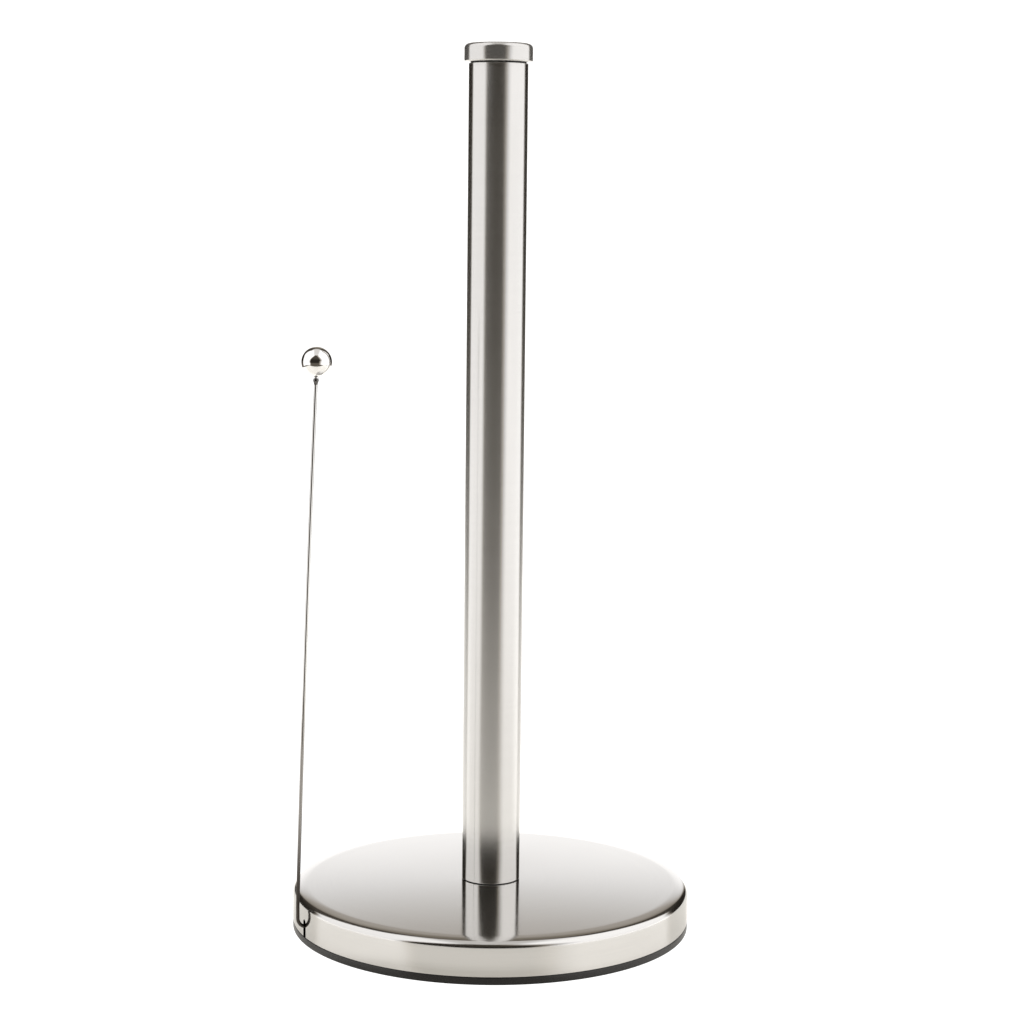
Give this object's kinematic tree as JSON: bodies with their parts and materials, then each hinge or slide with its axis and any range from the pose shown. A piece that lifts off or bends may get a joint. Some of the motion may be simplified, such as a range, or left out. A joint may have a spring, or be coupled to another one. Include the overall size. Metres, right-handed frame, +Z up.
{
  "type": "paper towel holder",
  "caption": "Free-standing paper towel holder: round weighted base, tall tubular mast with a flat cap, and a sprung wire arm with a ball end.",
  "frame": {"origin": "centre of the foot pad's underside, on the mast's axis", "axes": "+Z up along the mast; the wire arm stands at 204 degrees from +X, towards -X and a little towards -Y; -Y is the front"},
  "size_m": [0.17, 0.17, 0.3742],
  "materials": {
    "brushed_stainless": "satin, brushed along the piece",
    "polished_chrome": "mirror polished",
    "black_plastic": "moulded satin",
    "foot_rubber": "fine matt",
    "cast_iron": "rough cast, blackened",
    "zinc_plated": "zinc plated steel",
    "spring_steel": "oiled spring steel",
    "black_nylon": "matt"
  },
  "bodies": {
    "stand": {"base_cover": "brushed_stainless", "ballast_weight": "cast_iron", "base_plate": "black_plastic", "foot_pad": "foot_rubber", "base_plate_screw_1": "zinc_plated", "base_plate_screw_2": "zinc_plated", "base_plate_screw_3": "zinc_plated", "base_plate_screw_4": "zinc_plated", "mast_tube": "brushed_stainless", "mast_foot_plug": "zinc_plated", "mast_bolt": "zinc_plated", "bolt_lock_washer": "spring_steel", "bolt_washer": "zinc_plated", "top_cap": "brushed_stainless", "cap_bush": "black_nylon", "pivot_pin": "zinc_plated", "pin_clip_left": "spring_steel", "pin_clip_right": "spring_steel", "pivot_bracket": "zinc_plated", "bracket_screw_1": "zinc_plated", "bracket_screw_2": "zinc_plated", "arm_spring": "spring_steel"},
    "arm": {"arm_wire": "polished_chrome", "arm_ball": "polished_chrome", "arm_hub": "zinc_plated", "hub_set_screw": "zinc_plated"}
  },
  "joints": [
    {"name": "arm_swing", "type": "hinge", "parent": "stand", "child": "arm", "pos_m": [-0.06395, -0.02847, 0.0079], "axis": [0.4067, -0.9135, 0], "range_deg": [0, 14], "stiffness_Nm_per_rad": 0.4, "springref_deg": -14.32, "deforming": ["arm_spring"]}
  ]
}
